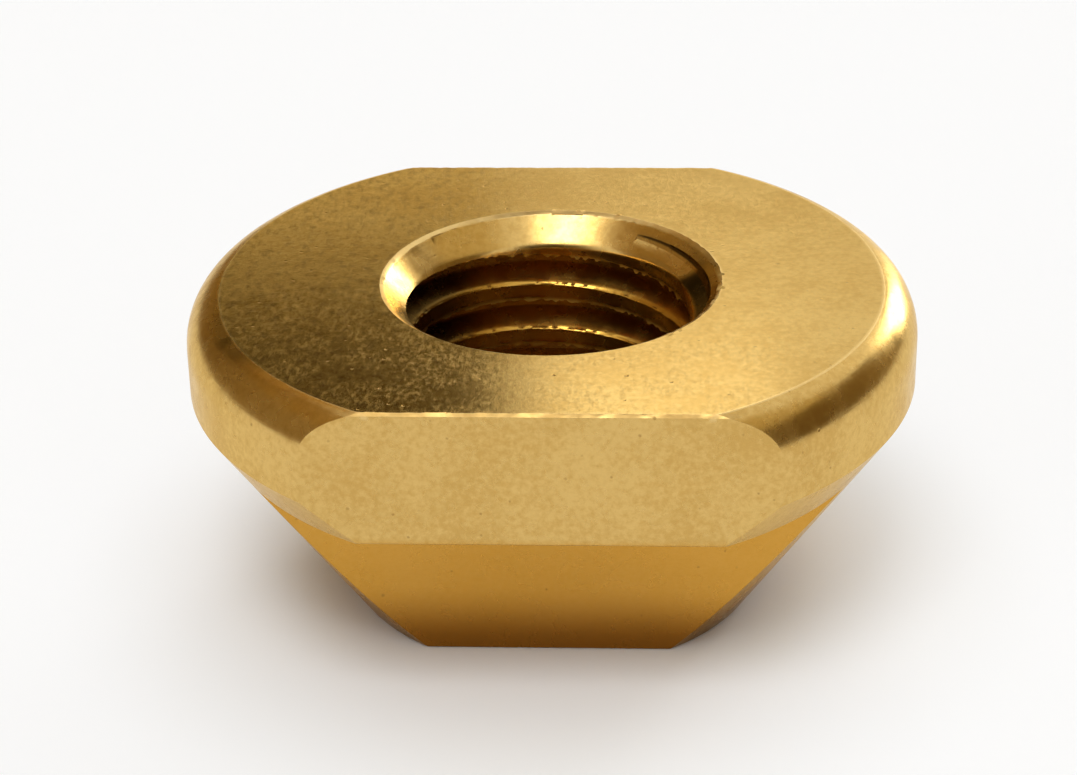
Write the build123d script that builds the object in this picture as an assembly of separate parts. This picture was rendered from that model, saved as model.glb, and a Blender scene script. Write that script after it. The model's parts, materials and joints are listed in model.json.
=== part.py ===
from build123d import *
import math
import os

# Track nut: a disc head with two milled flats, a tapered underside, and a narrower
# tongue below, turned and milled from one piece of brass around an M8 thread.
# Millimetres, +Z up. The origin is the middle of the base, on the thread's axis.
# The head is longest along X, and the flats of the head and the tongue face -Y and +Y.

# Turned outside
head_diameter = 17.5
overall_height = 7.8
rim_rounding_radius = 1.2  # between the top face and the straight rim
rim_rounding_sweep = 72.0  # degrees: tangent to the rim, meets the top face at an edge
rim_land_height = 1.1  # straight part of the rim, below the rounding
base_diameter = 10.1  # small end of the taper

# Milled flats
width_across_flats = 13.9
tongue_width = 8.3
tongue_height = 4.5  # from the base up to the ledge under the head

# Threaded hole, bored to its tapping size
thread_diameter = 8.0
thread_pitch = 1.25
top_countersink_margin = 0.05  # radial, beyond the thread's own radius
base_countersink_width = 0.3  # radial, beyond the bore
countersink_half_angle = 45.0  # degrees from the axis

head_radius = head_diameter / 2
base_radius = base_diameter / 2
bore_radius = (thread_diameter - thread_pitch) / 2
top_countersink_radius = thread_diameter / 2 + top_countersink_margin
base_countersink_radius = bore_radius + base_countersink_width


def turned_blank():
    """The disc head with its rounded rim, and the taper down to the base."""
    rounding_drop = rim_rounding_radius * math.sin(math.radians(rim_rounding_sweep))
    rim_top_z = overall_height - rounding_drop
    rim_bottom_z = rim_top_z - rim_land_height
    with BuildPart() as blank:
        with BuildSketch(Plane.XZ):
            with BuildLine():
                base = Line((0, 0), (base_radius, 0))
                taper = Line(base @ 1, (head_radius, rim_bottom_z))
                land = Line(taper @ 1, (head_radius, rim_top_z))
                rounding = CenterArc(
                    (head_radius - rim_rounding_radius, rim_top_z),
                    rim_rounding_radius,
                    0,
                    rim_rounding_sweep,
                )
                top = Line(rounding @ 1, (0, overall_height))
                Line(top @ 1, base @ 0)
            make_face()
        revolve(axis=Axis.Z)
    return blank.part


def milled_envelope():
    """What the cutter leaves: the head between its flats, over the narrower tongue."""
    beyond_the_rim = 2 * head_diameter
    on_the_base = (Align.CENTER, Align.CENTER, Align.MIN)
    head = Box(beyond_the_rim, width_across_flats, overall_height - tongue_height, align=on_the_base)
    tongue = Box(beyond_the_rim, tongue_width, tongue_height, align=on_the_base)
    return Pos(0, 0, tongue_height) * head + tongue


def countersink(radius):
    """A cone that opens upwards from the axis and reaches its radius at Z = 0."""
    depth = radius / math.tan(math.radians(countersink_half_angle))
    return Cone(0, radius, depth, align=(Align.CENTER, Align.CENTER, Align.MAX))


def threaded_hole():
    """The bore through the nut, with a countersink for the screw at each end."""
    bore = Pos(0, 0, overall_height / 2) * Cylinder(bore_radius, overall_height)
    top = Pos(0, 0, overall_height) * countersink(top_countersink_radius)
    base = Rot(180, 0, 0) * countersink(base_countersink_radius)
    return bore + top + base


def track_nut():
    nut = (turned_blank() & milled_envelope()) - threaded_hole()
    nut.label = "track_nut"
    return nut


os.makedirs("parts", exist_ok=True)
export_step(track_nut(), "parts/track_nut.step")
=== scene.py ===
import json
import math

import bpy
import numpy as np
from mathutils import Matrix, Vector, noise


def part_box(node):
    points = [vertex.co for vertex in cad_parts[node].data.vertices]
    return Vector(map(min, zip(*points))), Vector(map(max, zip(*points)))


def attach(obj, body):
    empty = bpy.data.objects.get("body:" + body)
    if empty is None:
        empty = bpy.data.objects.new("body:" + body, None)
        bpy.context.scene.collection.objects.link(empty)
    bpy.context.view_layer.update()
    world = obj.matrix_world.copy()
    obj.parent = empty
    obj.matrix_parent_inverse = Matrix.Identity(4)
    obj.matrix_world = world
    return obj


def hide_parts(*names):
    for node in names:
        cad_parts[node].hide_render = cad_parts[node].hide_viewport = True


# A brass track nut on a plain pale floor, in metres, +Z up, in the CAD model's frame.
# The nut's surface is one mesh of rings: up the outside, in over the top face, down the
# countersunk and threaded hole, and out over the base.

MM = 0.001

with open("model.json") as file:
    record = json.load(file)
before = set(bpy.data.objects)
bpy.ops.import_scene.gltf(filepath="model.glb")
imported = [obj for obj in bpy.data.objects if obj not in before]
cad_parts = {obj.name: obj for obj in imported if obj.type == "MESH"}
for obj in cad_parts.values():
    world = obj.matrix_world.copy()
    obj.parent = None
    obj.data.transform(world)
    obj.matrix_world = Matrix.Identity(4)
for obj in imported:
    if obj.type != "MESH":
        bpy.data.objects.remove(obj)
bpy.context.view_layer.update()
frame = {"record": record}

# Sizes that the frame gives
nut_low, nut_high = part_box("track_nut")
thread_mount = next(m for m in frame["record"]["mounts"] if m["name"] == "thread")
HEAD_RADIUS = (nut_high.x - nut_low.x) / 2
HEAD_HALF_WIDTH = (nut_high.y - nut_low.y) / 2
HEIGHT = nut_high.z - nut_low.z
CREST_RADIUS = thread_mount["dims"]["r_mm"] * MM

# Sizes of the solid, as in its source
RIM_ROUNDING_RADIUS = 1.2 * MM
RIM_ROUNDING_SWEEP = math.radians(72)
RIM_LAND_HEIGHT = 1.1 * MM
BASE_RADIUS = 5.05 * MM
TONGUE_HALF_WIDTH = 4.15 * MM
TONGUE_HEIGHT = 4.5 * MM
TOP_COUNTERSINK_RADIUS = 4.05 * MM
BASE_COUNTERSINK_RADIUS = 3.675 * MM

RIM_TOP_Z = HEIGHT - RIM_ROUNDING_RADIUS * math.sin(RIM_ROUNDING_SWEEP)
RIM_BOTTOM_Z = RIM_TOP_Z - RIM_LAND_HEIGHT
TAPER_SLOPE = (HEAD_RADIUS - BASE_RADIUS) / RIM_BOTTOM_Z

# The thread, which the solid leaves as a plain bore
PITCH = 1.25 * MM
ROOT_RADIUS = 4.0 * MM
FLANK_ANGLE = math.radians(30)
ROOT_FLAT = PITCH / 8
CREST_HEIGHT_AT_BACK = 5.90 * MM  # the middle of one crest, on the +Y side
RUN_OUT_RADIUS = 3.82 * MM  # how deep the groove still is where it runs out in the countersink
RUN_OUT_Z = 6.9 * MM  # where the groove starts to get shallower
RUN_OUT_HEIGHT = 0.3 * MM

# One turn of the thread's profile, in pitches from a crest's middle
ROOT_HALF = ROOT_FLAT / PITCH / 2
FLANK = (ROOT_RADIUS - CREST_RADIUS) * math.tan(FLANK_ANGLE) / PITCH
CREST_HALF = 0.5 - ROOT_HALF - FLANK
CREST_ROUND = 0.055  # each side of a crest's upper corner, which is worn

# Edge breaks
EDGE_BREAK = 0.05 * MM
LEDGE_FILLET = 0.10 * MM
CONE_ROUND = 0.07 * MM  # on the top countersink's inner edge
CONE_SUPPORT = 0.02 * MM  # how far under the edge break the countersink's plain cone starts
FLAT_EDGE_BREAK = 0.07 * MM  # the height of the chamfer along the flats' top edges
FLAT_BREAK_SLOPE = 0.77  # how far that chamfer goes in, for its height

# Burrs and nicks: how far each comes up, and how many of them there are to a millimetre
LIP = 0.05 * MM  # the torn metal that hangs under each crest, at the least
LIP_BURR = 0.108 * MM  # and what its ragged edge adds
LIP_BURR_DENSITY = 8.0
LIP_LEAN = 0.25  # how far a lip hangs inwards, for its height
LIP_REACH = 0.8  # the most that a lip hangs, as a share of the way to the base's countersink
NICK = 0.024 * MM
NICK_DENSITY = 6.0
BURR_FADE = 0.15 * MM  # how far under the top cone a crest's burrs and nicks are in full
FLAT_BURR = 0.035 * MM
FLAT_BURR_DENSITY = 7.5
CONE_BURR_LEAST = 0.01 * MM  # away from the run-out
CONE_BURR_OUTSIDE = 0.03 * MM  # beside the run-out, on the edge break's upper edge
CONE_BURR_INSIDE = 0.04 * MM  # and on its lower edge
CONE_BURR_DENSITY = 7.0
CONE_BURR_DIRECTION = math.radians(30)  # where the thread runs out

# Linear colours
BRASS = (0.695, 0.46, 0.15)
BRASS_DEEP = (0.60, 0.37, 0.102)
# painted shade: the brass low down and on the tongue, darkened as it mirrors the nut's shadow on the floor
BRASS_LOW_SHADE = (0.60, 0.29, 0.033)
# painted shade in the threaded bore
BRASS_BORE_SHADE = (0.58, 0.31, 0.043)
# rubbed edges, brightened as painted highlights
BRASS_BURNISHED_HIGHLIGHT = (0.86, 0.62, 0.26)
# painted shade at the foot, by the floor
BRASS_FOOT_SHADE = (0.27, 0.105, 0.013)
BRASS_SPECK = (0.26, 0.13, 0.030)
# dirt and painted shade where the thread runs out, and painted shade on the bore's left
BRASS_DIRT_AND_SHADE = (0.06, 0.035, 0.012)
# tarnished flecks that also paint a dark reflection
BRASS_TARNISH_AND_SHADE = (0.24, 0.14, 0.045)
EDGE_TINT = (1.0, 0.90, 0.67)  # of what the brass mirrors at a grazing angle
FLOOR_COLOUR = (0.93, 0.955, 0.99)
FLAG_DARK = (0.09, 0.07, 0.03)
FLAG_UMBER = (0.21, 0.15, 0.065)
FLAG_OLIVE = (0.34, 0.25, 0.13)
FLAG_BROWN = (0.37, 0.25, 0.09)
FLAG_TAN = (0.58, 0.40, 0.17)
FLAG_STRAW = (0.74, 0.65, 0.42)
FLAG_CREAM = (0.90, 0.82, 0.60)
FLAG_PALE = (1.0, 0.99, 0.95)

# Mesh steps in a quarter ring: round side, tongue's corner, shoulder, head's corner, flat
ROUND_STEPS = 30
CORNER_STEPS = 4
SHOULDER_STEPS = 28
FLAT_STEPS = 50
QUARTER = ROUND_STEPS + CORNER_STEPS + SHOULDER_STEPS + CORNER_STEPS + FLAT_STEPS
RING = 4 * QUARTER

# Rows of the mesh over a face, as shares of the way across, close together at its edges
LEDGE_ROWS = (0.04, 0.3, 0.65, 0.96)
FLAT_BREAK_ROWS = (0.35, 0.65, 0.88, 1.0)
TOP_FACE_ROWS = (0.03, 0.25, 0.5, 0.75, 0.97, 1.0)
BASE_ROWS = (0.1, 0.5, 0.9, 1.0)

# The rows in each turn of the thread that are torn, at a crest's lower edge, and nicked, at its upper
LIP_ROW = 0
NICKED_ROWS = (9, 11)

SHARP_ANGLE = math.radians(24)  # edges that turn by more than this are shaded sharp

# The studio
FLOOR_Z = -0.01 * MM
FLOOR_HALF_SIZE = 3.0
FLOOR_WHITENESS = 0.7  # the share of plain white that the floor shows away from the nut
FLOOR_SHADED = 5.2 * MM  # the floor isn't whitened up to this far from the nut's middle
FLOOR_CLEAR = 13 * MM  # and is whitened in full from here on
WORLD_LIGHT = 1.3  # the world's strength as a light
WORLD_SEEN = 1.0  # and as the white background that is seen and mirrored
CARD_Y = 0.5  # the plane of the cards behind the nut
CORNER_X = CARD_Y * math.tan(math.radians(-4.0))  # the dark card's lower right corner
CORNER_Z = HEIGHT + CARD_Y * math.tan(math.radians(24.6))
WINDOW_X = CARD_Y * math.tan(math.radians(-2.6))  # the window's lower left corner
WINDOW_Z = HEIGHT + CARD_Y * math.tan(math.radians(26.6))
CEILING_Z = 0.6

# The camera, which looks at the target from a place on a ball round the pivot
CAMERA_AZIMUTH = math.radians(2.7524)
CAMERA_ELEVATION = math.radians(27.2049)
CAMERA_ROLL = math.radians(-1.1104)
CAMERA_DISTANCE = 65.223 * MM
CAMERA_PIVOT = Vector((0, 0, 5.0)) * MM
CAMERA_TARGET = Vector((-0.3473, 0, 4.8705)) * MM
CAMERA_LENS = 89.317
CAMERA_SENSOR = 36


# ---------------------------------------------------------------- the nut's outline


def turned_radius(z):
    """The radius of the turned outside, at a height under the rim's rounding."""
    return min(BASE_RADIUS + TAPER_SLOPE * z, HEAD_RADIUS)


def corner_centre(radius, half_width):
    """The middle of the small round between a circle and the flat that cuts it."""
    y = half_width - EDGE_BREAK
    return math.sqrt((radius - EDGE_BREAK) ** 2 - y**2), y


def corner_round(radius, half_width):
    """That round's points, from the circle to the flat."""
    x, y = corner_centre(radius, half_width)
    angles = np.linspace(math.atan2(y, x), math.pi / 2, CORNER_STEPS + 1)
    return np.column_stack((x + EDGE_BREAK * np.cos(angles), y + EDGE_BREAK * np.sin(angles)))


def arc(radius, start, end, steps):
    angles = np.linspace(start, end, steps + 1)
    return np.column_stack((radius * np.cos(angles), radius * np.sin(angles)))


def tongue_corner_at_ledge():
    """Where the tongue's corner round starts and ends under the ledge, as (angle, x)."""
    half_width = TONGUE_HALF_WIDTH + LEDGE_FILLET
    x, y = corner_centre(turned_radius(TONGUE_HEIGHT), half_width)
    return math.atan2(y, x), x


def head_quarter(radius, half_width):
    """A quarter of the head's outline, from +X to +Y, with the flat's corner in it."""
    start_angle, corner_x = tongue_corner_at_ledge()
    end_angle = math.acos(corner_x / turned_radius(TONGUE_HEIGHT))
    x, y = corner_centre(radius, half_width)
    along_flat = np.linspace(x, 0, FLAT_STEPS + 1)
    return np.vstack(
        (
            arc(radius, 0, start_angle, ROUND_STEPS)[:-1],
            arc(radius, start_angle, end_angle, CORNER_STEPS)[:-1],
            arc(radius, end_angle, math.atan2(y, x), SHOULDER_STEPS)[:-1],
            corner_round(radius, half_width)[:-1],
            np.column_stack((along_flat, np.full(len(along_flat), half_width))),
        )
    )


def tongue_quarter(radius, half_width):
    """A quarter of the tongue's outline, with as many points as the head's."""
    x, y = corner_centre(radius, half_width)
    ledge = head_quarter(turned_radius(TONGUE_HEIGHT), HEAD_HALF_WIDTH - EDGE_BREAK)
    along_flat = ledge[ROUND_STEPS + CORNER_STEPS :, 0]
    along_flat = along_flat * (x / along_flat[0])
    return np.vstack(
        (
            arc(radius, 0, math.atan2(y, x), ROUND_STEPS)[:-1],
            corner_round(radius, half_width)[:-1],
            np.column_stack((along_flat, np.full(len(along_flat), half_width))),
        )
    )


def ring(quarter, z):
    """The closed outline of a quarter mirrored to four, at a height."""
    right_back = quarter[:-1]
    left_back = (quarter * (-1, 1))[::-1][:-1]
    left_front = (quarter * (-1, -1))[:-1]
    right_front = (quarter * (1, -1))[::-1][:-1]
    outline = np.vstack((right_back, left_back, left_front, right_front))
    return np.column_stack((outline, np.full(len(outline), z)))


def ring_angles():
    return 2 * math.pi * np.arange(RING) / RING


def circle_ring(radius, z):
    """A round ring, as the countersinks' edges are."""
    angles = ring_angles()
    return np.column_stack((radius * np.cos(angles), radius * np.sin(angles), np.broadcast_to(z, RING)))


def quarter_turn(steps):
    """(1 - cos, sin) pairs along a quarter circle, for a small round."""
    return [(1 - math.cos(t), math.sin(t)) for t in np.linspace(0, math.pi / 2, steps + 1)]


def ragged(points, density, seed):
    """Seeded noise for each point, 0 to about 1, that comes up in short uneven peaks."""
    offset = Vector((seed * 17.3, seed * 5.1, seed * 9.7))
    values = []
    for point in points:
        place = Vector(point) / MM * density + offset
        value = noise.noise(place) + 0.6 * noise.noise(place * 0.31)
        values.append(max(0.0, value + 0.15))
    return np.array(values)


# ---------------------------------------------------------------- the nut's outside


def tongue_rings():
    """The rings from the base's edge up to the tongue's fillet under the ledge."""
    rings = []
    for back, rise in reversed(quarter_turn(3)):
        z = EDGE_BREAK * (1 - rise)
        inset = EDGE_BREAK * back
        rings.append(ring(tongue_quarter(turned_radius(z) - inset, TONGUE_HALF_WIDTH - inset), z))
    for z in np.linspace(EDGE_BREAK, TONGUE_HEIGHT - LEDGE_FILLET, 10)[1:]:
        rings.append(ring(tongue_quarter(turned_radius(z), TONGUE_HALF_WIDTH), z))
    for back, rise in quarter_turn(4)[1:]:
        z = TONGUE_HEIGHT - LEDGE_FILLET * (1 - rise)
        outline = tongue_quarter(turned_radius(z), TONGUE_HALF_WIDTH + LEDGE_FILLET * back)
        rings.append(ring(outline, z))
    return rings


def ledge_rings(inner):
    """The rings from the tongue's fillet out to the edge of the head."""
    edge = ring(head_quarter(turned_radius(TONGUE_HEIGHT), HEAD_HALF_WIDTH - EDGE_BREAK), TONGUE_HEIGHT)
    return [inner + share * (edge - inner) for share in LEDGE_ROWS]


def wall_rings():
    """The rings up the head's wall, from the ledge to where the rim's rounding starts."""
    rings = []
    for back, rise in reversed(quarter_turn(3)):
        z = TONGUE_HEIGHT + EDGE_BREAK * (1 - rise)
        rings.append(ring(head_quarter(turned_radius(z), HEAD_HALF_WIDTH - EDGE_BREAK * back), z))
    for z in np.linspace(TONGUE_HEIGHT + EDGE_BREAK, RIM_BOTTOM_Z - EDGE_BREAK, 5)[1:]:
        rings.append(ring(head_quarter(turned_radius(z), HEAD_HALF_WIDTH), z))
    for z in np.linspace(RIM_BOTTOM_Z, RIM_TOP_Z, 4):
        rings.append(ring(head_quarter(HEAD_RADIUS, HEAD_HALF_WIDTH), z))
    return rings


def rim_rings():
    """The rings over the rim's rounding, with the flats' ragged chamfer along their top edges."""
    break_start = math.asin((HEIGHT - FLAT_EDGE_BREAK - RIM_TOP_Z) / RIM_ROUNDING_RADIUS)
    sweep = list(np.linspace(0, break_start, 12)[1:])
    sweep += [break_start + share * (RIM_ROUNDING_SWEEP - break_start) for share in FLAT_BREAK_ROWS]
    rings = []
    for angle in sweep:
        z = RIM_TOP_Z + RIM_ROUNDING_RADIUS * math.sin(angle)
        radius = HEAD_RADIUS - RIM_ROUNDING_RADIUS * (1 - math.cos(angle))
        over = max(0.0, min(1.0, (z - HEIGHT + FLAT_EDGE_BREAK) / FLAT_EDGE_BREAK))
        inset = FLAT_BREAK_SLOPE * FLAT_EDGE_BREAK * over
        outline = ring(head_quarter(radius, HEAD_HALF_WIDTH - inset), z)
        on_flat = np.abs(outline[:, 1]) > HEAD_HALF_WIDTH - 1.5 * FLAT_EDGE_BREAK
        burr = FLAT_BURR * over * ragged(outline, FLAT_BURR_DENSITY, seed=21) * on_flat
        outline[:, 1] -= np.sign(outline[:, 1]) * burr
        rings.append(outline)
    return rings


def outside_rings():
    """The rings from the base's edge up to the top face's edge."""
    tongue = tongue_rings()
    return tongue + ledge_rings(tongue[-1]) + wall_rings() + rim_rings()


# ---------------------------------------------------------------- the threaded hole


def thread_rows():
    """One turn's rows, as heights in pitches from a crest's middle."""
    return np.concatenate(
        (
            (-CREST_HALF,),
            np.linspace(-CREST_HALF + 0.02, CREST_HALF - CREST_ROUND, 7)[:-1],
            np.linspace(CREST_HALF - CREST_ROUND, CREST_HALF + CREST_ROUND, 8)[:-1],
            np.linspace(CREST_HALF + CREST_ROUND, CREST_HALF + FLANK, 3)[:-1],
            (0.5 - ROOT_HALF, 0.5),
            np.linspace(0.5 + ROOT_HALF, 1 - CREST_HALF, 6)[:-1],
        )
    )


def thread_radius(phase):
    """The wall's radius at a height in pitches from a crest's middle, its upper corner worn round."""
    height = (phase + 0.5) % 1.0 - 0.5
    share = np.clip((np.abs(height) - CREST_HALF) / FLANK, 0, 1)
    past = height - CREST_HALF + CREST_ROUND
    worn = (past > 0) & (past < 2 * CREST_ROUND)
    share = np.where(worn, past**2 / (4 * CREST_ROUND * FLANK), share)
    return CREST_RADIUS + share * (ROOT_RADIUS - CREST_RADIUS)


def cone_radius(z):
    """The countersinks' radius at a height. The top one's inner edge is worn round."""
    top = TOP_COUNTERSINK_RADIUS - (HEIGHT - z)
    worn = (CREST_RADIUS + top + np.sqrt((CREST_RADIUS - top) ** 2 + CONE_ROUND**2)) / 2
    in_upper_half = np.clip((z - HEIGHT / 2) / (HEIGHT / 4), 0, 1)
    return np.maximum(worn * in_upper_half, BASE_COUNTERSINK_RADIUS - z)


def move_to_crossing(z, wall):
    """Move each column's nearest row to where the thread runs into a cone, and mark it."""
    gap = wall - cone_radius(z)
    marked = np.zeros(z.shape, bool)
    moved_z, moved_wall = z.copy(), wall.copy()
    for row, column in np.argwhere(gap[:-1] * gap[1:] < 0):
        share = gap[row, column] / (gap[row, column] - gap[row + 1, column])
        nearest = row if share < 0.5 else row + 1
        if not marked[nearest, column]:
            marked[nearest, column] = True
            moved_z[nearest, column] += share_of(z, row, column, share) - z[nearest, column]
            moved_wall[nearest, column] += share_of(wall, row, column, share) - wall[nearest, column]
    return moved_z, moved_wall, marked


def share_of(values, row, column, share):
    """The value part of the way from one row to the next."""
    return values[row, column] + share * (values[row + 1, column] - values[row, column])


def thread_grid(heights):
    """The thread's rows along the helix: their heights and radii, and where they cross a cone."""
    turns = int(HEIGHT / PITCH) + 4
    first_turn = -int(CREST_HEIGHT_AT_BACK / PITCH) - 2
    lead = (ring_angles() - math.pi / 2) / (2 * math.pi)
    phase = np.concatenate([first_turn + turn + heights for turn in range(turns)])
    z = CREST_HEIGHT_AT_BACK + PITCH * (phase[:, None] + lead[None, :])
    running_out = np.clip((z - RUN_OUT_Z) / RUN_OUT_HEIGHT, 0, 1)
    deepest = ROOT_RADIUS + running_out * (RUN_OUT_RADIUS - ROOT_RADIUS)
    wall = np.minimum(np.repeat(thread_radius(phase)[:, None], RING, axis=1), deepest)
    return move_to_crossing(z, wall)


def tear_lip(points, wall, z, on_thread):
    """Hang torn metal under a crest's lower edge, but never past the base."""
    over_base = wall - BASE_COUNTERSINK_RADIUS + z
    torn = (LIP + LIP_BURR * ragged(points, LIP_BURR_DENSITY, seed=1)) * on_thread
    torn = np.minimum(torn, LIP_REACH * np.clip(over_base, 0, None))
    points[:, 2] -= torn
    points[:, :2] *= (1 - LIP_LEAN * torn / CREST_RADIUS)[:, None]


def nick_corner(points, on_thread):
    """Roughen a crest's upper corner."""
    nicked = NICK * ragged(points, NICK_DENSITY, seed=5) * on_thread
    points[:, :2] *= (1 - nicked / CREST_RADIUS)[:, None]


def bore(surface, base_edge, top_edge, low_z, high_z):
    """The threaded wall between the two countersinks' edge rings, as rows along the helix."""
    heights = thread_rows()
    per_turn = len(heights)
    z, wall, crossing = thread_grid(heights)

    # The rows that lie beyond an edge ring are folded into it
    radius = np.maximum(wall, cone_radius(z))
    index = np.zeros(z.shape, int)
    for row in range(len(z)):
        points = circle_ring(radius[row], z[row])
        under_cone = wall[row] - TOP_COUNTERSINK_RADIUS + HEIGHT - z[row]
        on_thread = np.clip(under_cone / BURR_FADE, 0, 1)
        if row % per_turn == LIP_ROW:
            tear_lip(points, wall[row], z[row], on_thread)
        if row % per_turn in NICKED_ROWS:
            nick_corner(points, on_thread)
        added = surface.add(points)
        index[row] = np.where(z[row] >= high_z, top_edge, np.where(z[row] <= low_z, base_edge, added))

    # Column RING is column 0 one turn on, where the rows are a pitch higher
    closed = np.full((len(z), RING + 1), top_edge[0])
    marked = np.zeros((len(z), RING + 1), bool)
    closed[:, :RING], marked[:, :RING] = index, crossing
    closed[:-per_turn, RING], marked[:-per_turn, RING] = index[per_turn:, 0], crossing[per_turn:, 0]
    stitch(surface, closed, marked)


def stitch(surface, index, marked):
    """Faces between the rows of a grid, each square cut along the line where thread meets cone."""
    rows, columns = index.shape
    for row in range(rows - 1):
        for i in range(columns - 1):
            a, b, c, d = index[row, i], index[row + 1, i], index[row + 1, i + 1], index[row, i + 1]
            if marked[row, i] and marked[row + 1, i + 1]:
                surface.face(b, c, a)
                surface.face(c, d, a)
            elif marked[row + 1, i] and marked[row, i + 1]:
                surface.face(b, c, d)
                surface.face(b, d, a)
            else:
                surface.face(b, c, d, a)


# ---------------------------------------------------------------- the nut's mesh


class Surface:
    """Vertices and faces in the making."""

    def __init__(self):
        self.points = []
        self.faces = []

    def add(self, points):
        first = len(self.points)
        self.points.extend(map(tuple, points))
        return np.arange(first, first + len(points))

    def face(self, *corners):
        kept = [int(c) for i, c in enumerate(corners) if c != corners[i - 1]]
        if len(kept) >= 3:
            self.faces.append(kept)

    def band(self, lower, upper):
        for i in range(RING):
            j = (i + 1) % RING
            self.face(lower[i], lower[j], upper[j], upper[i])

    def mesh(self, name):
        """The mesh, without unused vertices, and the old number of each vertex in it."""
        used, corners = np.unique(np.concatenate(self.faces), return_inverse=True)
        starts = np.cumsum([0] + [len(f) for f in self.faces])
        faces = [corners[s:e].tolist() for s, e in zip(starts, starts[1:])]
        mesh = bpy.data.meshes.new(name)
        mesh.from_pydata([self.points[i] for i in used], [], faces)
        return mesh, used


def outside(surface):
    """The outside, from the base's edge to the top face's. Rings share the points that coincide."""
    rings = outside_rings()
    first = last = surface.add(rings[0])
    for below, above in zip(rings, rings[1:]):
        same = np.linalg.norm(above - below, axis=1) < 1e-9
        row = np.where(same, last, surface.add(above))
        surface.band(last, row)
        last = row
    return first, last


def countersink_edge(radius, z, most, seed):
    """A ring at the countersink's edge, ragged where the thread runs out, on the right."""
    points = circle_ring(radius, z)
    near_run_out = (1 + np.cos(ring_angles() - CONE_BURR_DIRECTION)) / 2
    amount = CONE_BURR_LEAST + (most - CONE_BURR_LEAST) * near_run_out**2
    burr = ragged(points, CONE_BURR_DENSITY, seed) * amount
    points[:, :2] *= (1 - burr / radius)[:, None]
    return points


def top_face(surface, rim):
    """The top face, and the edge break and first step of the countersink."""
    outer = np.array([surface.points[i] for i in rim])
    inner = countersink_edge(TOP_COUNTERSINK_RADIUS + EDGE_BREAK, HEIGHT, CONE_BURR_OUTSIDE, seed=11)
    last = rim
    for share in TOP_FACE_ROWS:
        row = surface.add(outer + share * (inner - outer))
        surface.band(last, row)
        last = row
    radius, z = TOP_COUNTERSINK_RADIUS - EDGE_BREAK, HEIGHT - EDGE_BREAK
    edge = surface.add(countersink_edge(radius, z, CONE_BURR_INSIDE, seed=12))
    surface.band(last, edge)
    cone = surface.add(circle_ring(radius - CONE_SUPPORT, z - CONE_SUPPORT))
    surface.band(edge, cone)
    return cone


def base_face(surface, rim):
    """The base, and the edge break of its countersink."""
    outer = np.array([surface.points[i] for i in rim])
    inner = circle_ring(BASE_COUNTERSINK_RADIUS + EDGE_BREAK, 0)
    last = rim
    for share in BASE_ROWS:
        row = surface.add(outer + share * (inner - outer))
        surface.band(row, last)
        last = row
    edge = surface.add(circle_ring(BASE_COUNTERSINK_RADIUS - EDGE_BREAK, EDGE_BREAK))
    surface.band(edge, last)
    return edge


def sharpen_rim(mesh, used, rim):
    """Mark the crisp edge between the top face and the rim's rounding."""
    on_rim = {int(np.searchsorted(used, vertex)) for vertex in rim}
    for edge in mesh.edges:
        if on_rim.issuperset(edge.vertices):
            edge.use_edge_sharp = True


def nut_mesh():
    surface = Surface()
    base_rim, top_rim = outside(surface)
    top_edge = top_face(surface, top_rim)
    base_edge = base_face(surface, base_rim)
    bore(surface, base_edge, top_edge, EDGE_BREAK, HEIGHT - EDGE_BREAK - CONE_SUPPORT)
    mesh, used = surface.mesh("track_nut_visual")
    mesh.shade_smooth()
    mesh.set_sharp_from_angle(angle=SHARP_ANGLE)
    sharpen_rim(mesh, used, top_rim)
    return mesh


# ---------------------------------------------------------------- the brass

# Where a look of the brass fades in, as (nothing at, full at) and, where they aren't 0 and 1, how
# little and how much of it there is then. These are in millimetres, or in parts of a unit normal.
FACING_UP = (0.96, 0.995)
FACING_SIDEWAYS = (0.85, 0.95)
BORE_BY_RADIUS = (4.02, 3.90)
BORE_BY_HEIGHT = (7.15, 6.90)
CONE_BY_RADIUS = (4.12, 4.05)
CONE_BY_HEIGHT = (7.10, 7.20)
LIP_BY_RADIUS = (3.374, 3.35, 0, 0.3)
# Painted shade on the tongue and low down, where the nut's shadow on the floor is mirrored
TONGUE_SHADE_BY_HEIGHT = (4.70, 4.35, 0, 0.8)
LOW_SHADE_BY_HEIGHT = (4.6, 0.2, 0, 0.6)
# Painted shade at the foot
FOOT_SHADE_BY_HEIGHT = (1.8, 0.3, 0, 0.85)
# Tarnished flecks and a painted dark reflection, on the top face's left
TARNISH_AND_SHADE_BY_X = (0.0, -3.5, 0, 0.5)
# Painted shade on the left of the bore
LEFT_BORE_SHADE_BY_X = (-1.2, -2.8, 0, 0.75)
# How much of the bore's painted shade is mixed in
BORE_SHADE_SHARE = 0.8

# The dirt and painted shade where the thread runs out: a wedge on the right, and the line that leads to it.
# How far it stands off the cone is its radius less its height, which is -3.75 on the plain cone.
WEDGE_BY_Y = ((1.6, 1.3), (-2.2, -1.4))
WEDGE_OFF_CONE = (-3.738, -3.715)
LINE_OFF_CONE = (-3.748, -3.735)
LINE_BY_RADIUS = (3.775, 3.80)
RUN_OUT_BY_RADIUS = (3.90, 3.87)
RUN_OUT_BY_HEIGHT = (7.0, 7.1)
RUN_OUT_BY_X = (0.5, 1.2, 0, 0.95)

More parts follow.
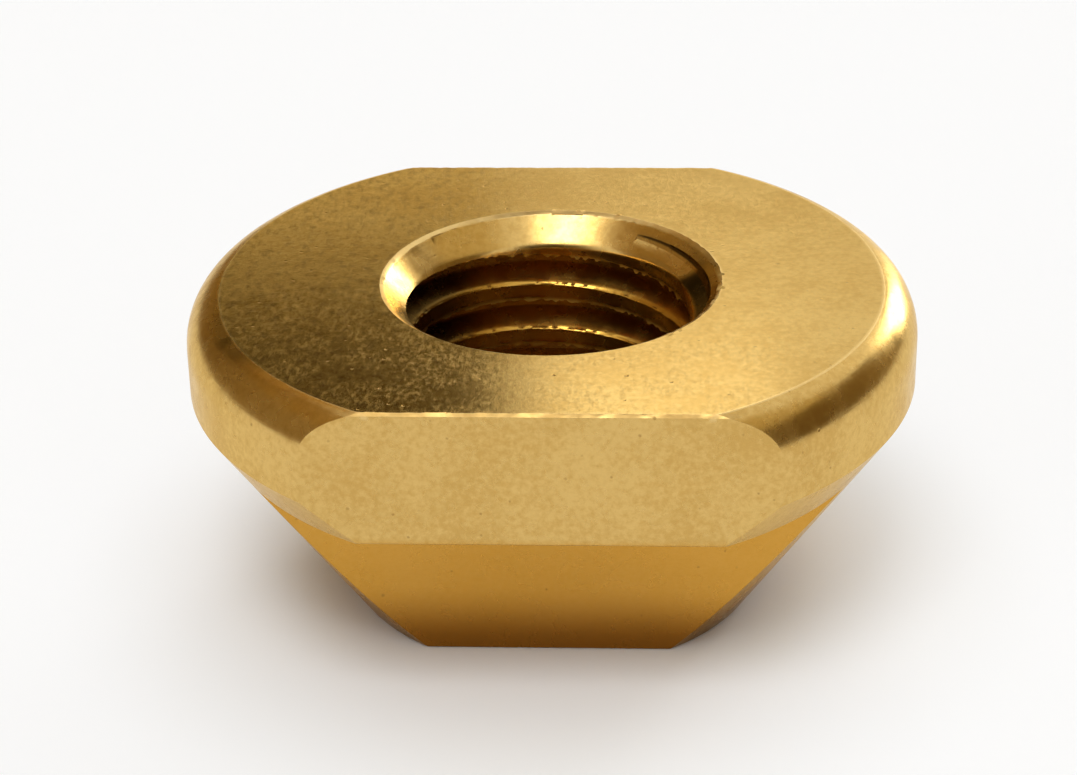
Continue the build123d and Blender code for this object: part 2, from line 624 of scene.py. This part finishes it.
# The bright edges, burnished and with painted highlights: the flats' chamfers, the countersink's edge and the
# top face's round edge
CHAMFER_BY_Y = (6.80, 6.87)
CHAMFER_BY_HEIGHT = (7.70, 7.74, 0, 0.25)
CONE_EDGE_BY_RADIUS = ((3.95, 4.0), (4.15, 4.1))
CONE_EDGE_BY_HEIGHT = (7.68, 7.73)
CONE_HIGHLIGHT_BY_Y = (-1.5, 1.0, 0.15, 0.6)
CREASE_BY_RADIUS = ((7.86, 7.90), (7.965, 7.935))
CREASE_BY_HEIGHT = (7.6, 7.7, 0, 0.6)

# The same for the values of the noises and spots
MOTTLE = (0.38, 0.62)
FLECKS = (0.46, 0.66)
STREAKS = (0.34, 0.74)
CLOUDS = (0.34, 0.62, 0.45, 1.1)
UNEVENNESS = (0.35, 0.65, 0.85, 1.2)
SPECK_BY_DISTANCE = (0.27, 0.16)
SPECK_BY_SHADE = (0.62, 0.9)
SPECK_STRENGTH = 0.5

# Roughness
TOP_ROUGHNESS = (0.12, 0.23)  # of the top face, without haze and with it in full
PLAIN_ROUGHNESS = 0.24
CONE_ROUGHNESS = 0.25
BRIGHT_ROUGHNESS = 0.12  # what the bright edges add
CHAMFER_ROUGHNESS = 0.8  # and what the flats' chamfers add to that


class Nodes:
    """Short ways to add nodes to a material or a world."""

    def __init__(self, tree):
        self.nodes = tree.nodes
        self.links = tree.links

    def put(self, value, socket):
        if isinstance(value, bpy.types.NodeSocket):
            self.links.new(value, socket)
        else:
            socket.default_value = value

    def node(self, kind, *values):
        """A new node, with values or other nodes' sockets in its first inputs."""
        node = self.nodes.new(kind)
        for value, socket in zip(values, node.inputs):
            self.put(value, socket)
        return node

    def math(self, operation, first, second, clamp=False):
        node = self.node("ShaderNodeMath", first, second)
        node.operation = operation
        node.use_clamp = clamp
        return node.outputs[0]

    def total(self, *values):
        result = values[0]
        for value in values[1:]:
            result = self.math("ADD", result, value)
        return result

    def product(self, *values):
        result = values[0]
        for value in values[1:]:
            result = self.math("MULTIPLY", result, value)
        return result

    def largest(self, *values):
        result = values[0]
        for value in values[1:]:
            result = self.math("MAXIMUM", result, value)
        return result

    def magnitude(self, value):
        return self.math("ABSOLUTE", value, 0.0)

    def vector(self, x, y, z):
        return self.node("ShaderNodeCombineXYZ", x, y, z).outputs[0]

    def parts(self, vector):
        return tuple(self.node("ShaderNodeSeparateXYZ", vector).outputs)

    def stretched(self, vector, scales):
        node = self.node("ShaderNodeVectorMath", vector, scales)
        node.operation = "MULTIPLY"
        return node.outputs[0]

    def noise(self, vector, scale, detail, roughness=0.55):
        node = self.nodes.new("ShaderNodeTexNoise")
        self.put(vector, node.inputs["Vector"])
        node.inputs["Scale"].default_value = scale
        node.inputs["Detail"].default_value = detail
        node.inputs["Roughness"].default_value = roughness
        return node.outputs["Fac"]

    def spots(self, vector, scale):
        """The distance to the nearest spot's middle, and a colour of that spot's own."""
        node = self.nodes.new("ShaderNodeTexVoronoi")
        self.put(vector, node.inputs["Vector"])
        node.inputs["Scale"].default_value = scale
        return node.outputs["Distance"], node.outputs["Color"]

    def between(self, value, low, high, to_low=0.0, to_high=1.0):
        node = self.node("ShaderNodeMapRange", value, low, high, to_low, to_high)
        node.interpolation_type = "SMOOTHSTEP"
        return node.outputs[0]

    def mix(self, share, first, second):
        """A colour between two, each a colour or a socket."""
        node = self.nodes.new("ShaderNodeMix")
        node.data_type = "RGBA"
        self.put(share, node.inputs[0])
        for value, socket in ((first, node.inputs[6]), (second, node.inputs[7])):
            self.put((*value, 1) if isinstance(value, tuple) else value, socket)
        return node.outputs[2]

    def mix_numbers(self, share, first, second):
        node = self.nodes.new("ShaderNodeMix")
        for value, socket in ((share, node.inputs[0]), (first, node.inputs[2]), (second, node.inputs[3])):
            self.put(value, socket)
        return node.outputs[0]

    def bump(self, height, depth, normal=None):
        node = self.nodes.new("ShaderNodeBump")
        node.inputs["Strength"].default_value = 1
        node.inputs["Distance"].default_value = depth
        self.put(height, node.inputs["Height"])
        if normal is not None:
            self.links.new(normal, node.inputs["Normal"])
        return node.outputs[0]


class Place:
    """Where a point of the nut is, in millimetres, and the regions of the nut that it is in."""

    def __init__(self, n):
        coordinates = n.nodes.new("ShaderNodeTexCoord").outputs["Object"]
        self.point = n.stretched(coordinates, (1 / MM, 1 / MM, 1 / MM))
        self.x, self.y, self.z = n.parts(self.point)
        self.radius = n.math("SQRT", n.total(n.product(self.x, self.x), n.product(self.y, self.y)), 0.0)
        normal = n.parts(n.nodes.new("ShaderNodeNewGeometry").outputs["Normal"])
        self.on_top = n.between(normal[2], *FACING_UP)
        self.on_flat = n.between(n.magnitude(normal[1]), *FACING_SIDEWAYS)
        self.in_bore = n.product(n.between(self.radius, *BORE_BY_RADIUS), n.between(self.z, *BORE_BY_HEIGHT))
        self.on_cone = n.product(n.between(self.radius, *CONE_BY_RADIUS), n.between(self.z, *CONE_BY_HEIGHT))


def mottled(n, at):
    """The plain brass, with broad and fine mottling."""
    broad = n.noise(at.point, scale=0.45, detail=4.0)
    fine = n.noise(at.point, scale=6.5, detail=4.0, roughness=0.65)
    mottle = n.total(n.product(broad, 0.42), n.product(fine, 0.58))
    return n.mix(n.between(mottle, *MOTTLE), BRASS_DEEP, BRASS)


def shaded_and_tarnished(n, at, colour):
    """Painted shade low down, on the tongue, at the foot and in the bore, and tarnished flecks that also
    paint a dark reflection on the top face's left.
    """
    # Painted shade: the tongue and the brass low down are darkened where they mirror the nut's shadow on the
    # floor
    tongue_shade = n.product(at.on_flat, n.between(at.z, *TONGUE_SHADE_BY_HEIGHT))
    colour = n.mix(n.largest(n.between(at.z, *LOW_SHADE_BY_HEIGHT), tongue_shade), colour, BRASS_LOW_SHADE)
    # Painted shade, darkest at the foot
    colour = n.mix(n.between(at.z, *FOOT_SHADE_BY_HEIGHT), colour, BRASS_FOOT_SHADE)
    # Painted shade in the bore
    colour = n.mix(n.product(at.in_bore, BORE_SHADE_SHARE), colour, BRASS_BORE_SHADE)
    # Tarnished flecks on the top face's left, also painting a dark reflection there
    flecks = n.noise(n.stretched(at.point, (4.2, 2.4, 0.0)), scale=1.0, detail=5.0, roughness=0.7)
    tarnish_and_shade = n.product(n.between(flecks, *FLECKS), at.on_top, n.between(at.x, *TARNISH_AND_SHADE_BY_X))
    return n.mix(tarnish_and_shade, colour, BRASS_TARNISH_AND_SHADE)


def dirtied_and_shaded(n, at, colour):
    """Dirt and painted shade where the thread runs out into the countersink, and painted shade on the left of
    the bore.
    """
    off_cone = n.math("SUBTRACT", at.radius, at.z)
    # Dirt and painted shade in the wedge and line where the thread runs out
    wedge = n.product(*(n.between(at.y, *fade) for fade in WEDGE_BY_Y), n.between(off_cone, *WEDGE_OFF_CONE))
    line = n.product(n.between(at.radius, *LINE_BY_RADIUS), n.between(off_cone, *LINE_OFF_CONE))
    by_height = n.between(at.z, *RUN_OUT_BY_HEIGHT)
    by_radius = n.between(at.radius, *RUN_OUT_BY_RADIUS)
    by_x = n.between(at.x, *RUN_OUT_BY_X)
    run_out = n.product(n.largest(wedge, line), by_height, by_radius, by_x)
    colour = n.mix(run_out, colour, BRASS_DIRT_AND_SHADE)
    # Painted shade on the left of the bore
    return n.mix(n.product(at.in_bore, n.between(at.x, *LEFT_BORE_SHADE_BY_X)), colour, BRASS_DIRT_AND_SHADE)


def burnished_and_highlighted_edges(n, at):
    """How bright the flats' chamfers are rubbed, and how bright all the rubbed edges are, with painted
    highlights along them.
    """
    near_flats = n.between(n.magnitude(at.y), *CHAMFER_BY_Y)
    chamfers = n.product(near_flats, n.between(at.z, *CHAMFER_BY_HEIGHT))
    near_cone = n.product(*(n.between(at.radius, *fade) for fade in CONE_EDGE_BY_RADIUS))
    # The countersink edge's painted highlight is brightest behind the hole
    painted_highlight_behind = n.between(at.y, *CONE_HIGHLIGHT_BY_Y)
    cone_edge = n.product(near_cone, n.between(at.z, *CONE_EDGE_BY_HEIGHT), painted_highlight_behind)
    near_rim = n.product(*(n.between(at.radius, *fade) for fade in CREASE_BY_RADIUS))
    crease = n.product(near_rim, n.between(at.z, *CREASE_BY_HEIGHT))
    return chamfers, n.largest(chamfers, cone_edge, crease)


def specks(n, at):
    """Small ragged specks, round some of the middles of a pattern of spots."""
    distance, shade = n.spots(at.point, scale=3.1)
    wander = n.noise(at.point, scale=6.0, detail=2.0)
    inside = n.between(n.total(distance, n.product(wander, 0.25)), *SPECK_BY_DISTANCE)
    return n.product(inside, n.between(n.parts(shade)[0], *SPECK_BY_SHADE))


def finish(n, at, chamfers, bright):
    """The roughness: a streaked haze on the top face, and duller and plainer everywhere else."""
    plain = n.between(at.on_cone, 0, 1, PLAIN_ROUGHNESS, CONE_ROUGHNESS)
    on_lips = n.product(at.in_bore, n.between(at.radius, *LIP_BY_RADIUS))
    on_bright = n.product(bright, BRIGHT_ROUGHNESS)
    elsewhere = n.total(plain, on_lips, on_bright, n.product(chamfers, CHAMFER_ROUGHNESS))
    uneven = n.between(n.noise(at.point, scale=1.6, detail=3.0), *UNEVENNESS)
    streaks = n.noise(n.stretched(at.point, (8.0, 3.4, 0.0)), scale=1.0, detail=4.0, roughness=0.75)
    clouds = n.noise(at.point, scale=0.9, detail=4.0)
    haze = n.product(n.between(streaks, *STREAKS), n.between(clouds, *CLOUDS))
    on_top_face = n.between(haze, 0, 1, *TOP_ROUGHNESS)
    return n.mix_numbers(at.on_top, n.product(uneven, elsewhere), on_top_face)


def relief(n, at, speck):
    """Faint waves, grain along Y, turning marks round the rim and the cone, pits, and sunk specks."""
    waves = n.noise(at.point, scale=1.1, detail=2.0)
    grain = n.noise(n.stretched(at.point, (6.0, 2.8, 6.0)), scale=1.0, detail=4.0, roughness=0.6)
    around = n.vector(n.product(at.radius, 14.0), n.product(at.x, 0.25), n.product(at.z, 14.0))
    rings = n.noise(around, scale=1.0, detail=2.0)
    turning_marks = n.product(rings, n.math("SUBTRACT", 1.0, at.on_top))
    pits = n.noise(at.point, scale=9.0, detail=3.0, roughness=0.6)
    hollows = n.product(speck, -1.0)
    normal = n.bump(waves, depth=0.0015 * MM)
    normal = n.bump(grain, depth=0.0008 * MM, normal=normal)
    normal = n.bump(turning_marks, depth=0.0014 * MM, normal=normal)
    normal = n.bump(pits, depth=0.0005 * MM, normal=normal)
    return n.bump(hollows, depth=0.003 * MM, normal=normal)


def brass():
    """Satin brass as it leaves the machine: mottled, finely grained, specked, dirty and tarnished in places,
    with painted shade low down and in the bore, a painted dark reflection on the top face's left, and painted
    highlights on its rubbed edges.
    """
    material = bpy.data.materials.new("brass")
    material.use_nodes = True
    n = Nodes(material.node_tree)
    at = Place(n)
    chamfers, bright = burnished_and_highlighted_edges(n, at)
    speck = specks(n, at)
    colour = dirtied_and_shaded(n, at, shaded_and_tarnished(n, at, mottled(n, at)))
    # Rubbed edges with painted highlights
    colour = n.mix(bright, colour, BRASS_BURNISHED_HIGHLIGHT)
    colour = n.mix(n.product(speck, SPECK_STRENGTH), colour, BRASS_SPECK)
    shader = n.nodes["Principled BSDF"].inputs
    n.links.new(colour, shader["Base Color"])
    n.links.new(finish(n, at, chamfers, bright), shader["Roughness"])
    n.links.new(relief(n, at, speck), shader["Normal"])
    shader["Metallic"].default_value = 1
    shader["Specular Tint"].default_value = (*EDGE_TINT, 1)
    return material


def track_nut():
    mesh = nut_mesh()
    mesh.materials.append(brass())
    nut = bpy.data.objects.new("track_nut_body", mesh)
    bpy.context.scene.collection.objects.link(nut)
    weighted = nut.modifiers.new("weighted_normals", "WEIGHTED_NORMAL")
    weighted.keep_sharp = True
    weighted.mode = "FACE_AREA"
    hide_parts("track_nut")
    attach(nut, "root")


# ---------------------------------------------------------------- the studio

# The upright cards that the metal mirrors: name, two ends of the foot, lowest and highest, colour.
# The dark left half of the top face mirrors the first, which ends at a corner behind the nut.
CARDS = (
    ("flag_back_left", (-1.4, CARD_Y), (CORNER_X, CARD_Y), (CORNER_Z, 0.47), FLAG_DARK),
    ("flag_back_left_high", (-1.4, CARD_Y), (CORNER_X, CARD_Y), (0.47, 1.0), FLAG_TAN),
    ("flag_low_left", (-1.2, CARD_Y), (-0.15, CARD_Y), (0, CORNER_Z), FLAG_BROWN),
    ("flag_low_middle", (-0.15, CARD_Y), (CORNER_X, CARD_Y), (0.1, CORNER_Z), FLAG_CREAM),
    ("flag_low_right", (CORNER_X, CARD_Y), (0.19, CARD_Y), (0.1, CORNER_Z), FLAG_PALE),
    ("flag_left", (-0.55, CARD_Y), (-0.55, -0.35), (0, 0.42), FLAG_OLIVE),
    ("flag_left_high", (-0.55, CARD_Y), (-0.55, -0.35), (0.42, 1.0), FLAG_BROWN),
    ("flag_front", (-0.3, -CARD_Y), (0.3, -CARD_Y), (0.06, 0.55), FLAG_DARK),
    ("flag_right", (0.45, 0.40), (0.45, -0.30), (0, 0.36), FLAG_UMBER),
    ("flag_right_back", (0.45, 0.54), (0.45, 0.40), (0, 0.22), FLAG_DARK),
    ("flag_right_high", (0.45, 0.20), (0.45, -0.35), (0.36, 0.9), FLAG_STRAW),
)


def seen_ray(n):
    """1 for the rays that show the background: the camera's, and those off metal or through glass."""
    path = n.nodes.new("ShaderNodeLightPath").outputs
    seen_or_mirrored = n.math("ADD", path["Is Camera Ray"], path["Is Glossy Ray"])
    return n.math("ADD", seen_or_mirrored, path["Is Transmission Ray"], clamp=True)


def studio_world():
    world = bpy.data.worlds.new("studio")
    world.use_nodes = True
    n = Nodes(world.node_tree)
    lighting = n.nodes["Background"]
    backdrop = n.nodes.new("ShaderNodeBackground")
    for background, strength in ((lighting, WORLD_LIGHT), (backdrop, WORLD_SEEN)):
        background.inputs["Color"].default_value = (1, 1, 1, 1)
        background.inputs["Strength"].default_value = strength
    mixed = n.node("ShaderNodeMixShader", seen_ray(n), lighting.outputs[0], backdrop.outputs[0])
    n.links.new(mixed.outputs[0], n.nodes["World Output"].inputs["Surface"])
    bpy.context.scene.world = world


def matte(name, colour, roughness):
    """A material without gloss."""
    material = bpy.data.materials.new(name)
    material.use_nodes = True
    shader = material.node_tree.nodes["Principled BSDF"].inputs
    shader["Base Color"].default_value = (*colour, 1)
    shader["Roughness"].default_value = roughness
    shader["Specular IOR Level"].default_value = 0
    return material


def link(name, data):
    item = bpy.data.objects.new(name, data)
    bpy.context.scene.collection.objects.link(item)
    return item


def plane(name, corners, material):
    mesh = bpy.data.meshes.new(name)
    mesh.from_pydata(corners, [], [(0, 1, 2, 3)])
    mesh.materials.append(material)
    item = link(name, mesh)
    return item


def floor():
    """A pale floor that keeps the nut's shadow, and is whitened as it gets away from the nut."""
    material = matte("floor", FLOOR_COLOUR, roughness=0.9)
    n = Nodes(material.node_tree)
    away = n.node("ShaderNodeVectorMath", n.nodes.new("ShaderNodeTexCoord").outputs["Object"])
    away.operation = "LENGTH"
    clear = n.between(away.outputs["Value"], FLOOR_SHADED, FLOOR_CLEAR)
    share = n.product(seen_ray(n), clear, FLOOR_WHITENESS)
    shaded = n.nodes["Principled BSDF"].outputs[0]
    white = n.nodes.new("ShaderNodeEmission").outputs[0]
    mixed = n.node("ShaderNodeMixShader", share, shaded, white)
    n.links.new(mixed.outputs[0], n.nodes["Material Output"].inputs["Surface"])
    half = FLOOR_HALF_SIZE
    corners = [(-half, -half, FLOOR_Z), (half, -half, FLOOR_Z), (half, half, FLOOR_Z), (-half, half, FLOOR_Z)]
    plane("floor", corners, material)


def card(name, corners, colour):
    """A card out of the camera's sight, for the metal to mirror."""
    plane(name, corners, matte(name, colour, roughness=1)).visible_camera = False


def cards():
    for name, start, end, (low, high), colour in CARDS:
        card(name, [(*start, low), (*end, low), (*end, high), (*start, high)], colour)
    ceiling = ((-0.2, -0.15), (0.2, -0.15), (0.2, 0.2), (-0.2, 0.2))
    card("flag_ceiling", [(x, y, CEILING_Z) for x, y in ceiling], FLAG_UMBER)


def lamp(name, width, height, radiance):
    data = bpy.data.lights.new(name, "AREA")
    data.shape = "RECTANGLE"
    data.size = width
    data.size_y = height
    data.energy = radiance * math.pi * width * height
    item = link(name, data)
    item.visible_camera = False
    return item


def softbox(name, azimuth, elevation, distance, width, height, radiance):
    """A lamp that faces the nut. Azimuth 0 is straight behind the nut and turns to the right."""
    az, el = math.radians(azimuth), math.radians(elevation)
    away = Vector((math.sin(az) * math.cos(el), math.cos(az) * math.cos(el), math.sin(el)))
    item = lamp(name, width, height, radiance)
    item.location = away * distance + Vector((0, 0, HEIGHT))
    item.rotation_mode = "QUATERNION"
    item.rotation_quaternion = away.to_track_quat("Z", "Y")


def window(name, x, z, width, height, radiance):
    """A broad soft lamp that stands upright behind the nut, from a lower left corner."""
    item = lamp(name, width, height, radiance)
    item.location = (x + width / 2, CARD_Y, z + height / 2)
    item.rotation_euler = (math.radians(-90), 0, 0)


def lamps():
    softbox("overhead", azimuth=196, elevation=62.5, distance=0.5, width=0.22, height=0.2, radiance=5)
    softbox("lamp_back_right", azimuth=33, elevation=10.5, distance=0.6, width=0.14, height=0.21, radiance=10)
    window("window", WINDOW_X, WINDOW_Z, width=0.051, height=0.5, radiance=0.75)


def camera():
    """The photograph's view: almost straight from the front, from above, and a little rolled."""
    level, rise = math.cos(CAMERA_ELEVATION), math.sin(CAMERA_ELEVATION)
    back = Vector((math.sin(CAMERA_AZIMUTH) * level, -math.cos(CAMERA_AZIMUTH) * level, rise))
    place = CAMERA_PIVOT + CAMERA_DISTANCE * back
    forward = (CAMERA_TARGET - place).normalized()
    right = forward.cross(Vector((0, 0, 1))).normalized()
    up = right.cross(forward)
    rolled_right = math.cos(CAMERA_ROLL) * right + math.sin(CAMERA_ROLL) * up
    rolled_up = math.cos(CAMERA_ROLL) * up - math.sin(CAMERA_ROLL) * right
    data = bpy.data.cameras.new("camera")
    data.sensor_width = CAMERA_SENSOR
    data.lens = CAMERA_LENS
    data.clip_start = 0.001
    data.clip_end = 20
    item = link("camera", data)
    axes = Matrix((rolled_right, rolled_up, -forward)).transposed().to_4x4()
    item.matrix_world = Matrix.Translation(place) @ axes
    bpy.context.scene.camera = item


track_nut()
studio_world()
floor()
cards()
lamps()
camera()
bpy.context.scene.view_settings.view_transform = "Standard"
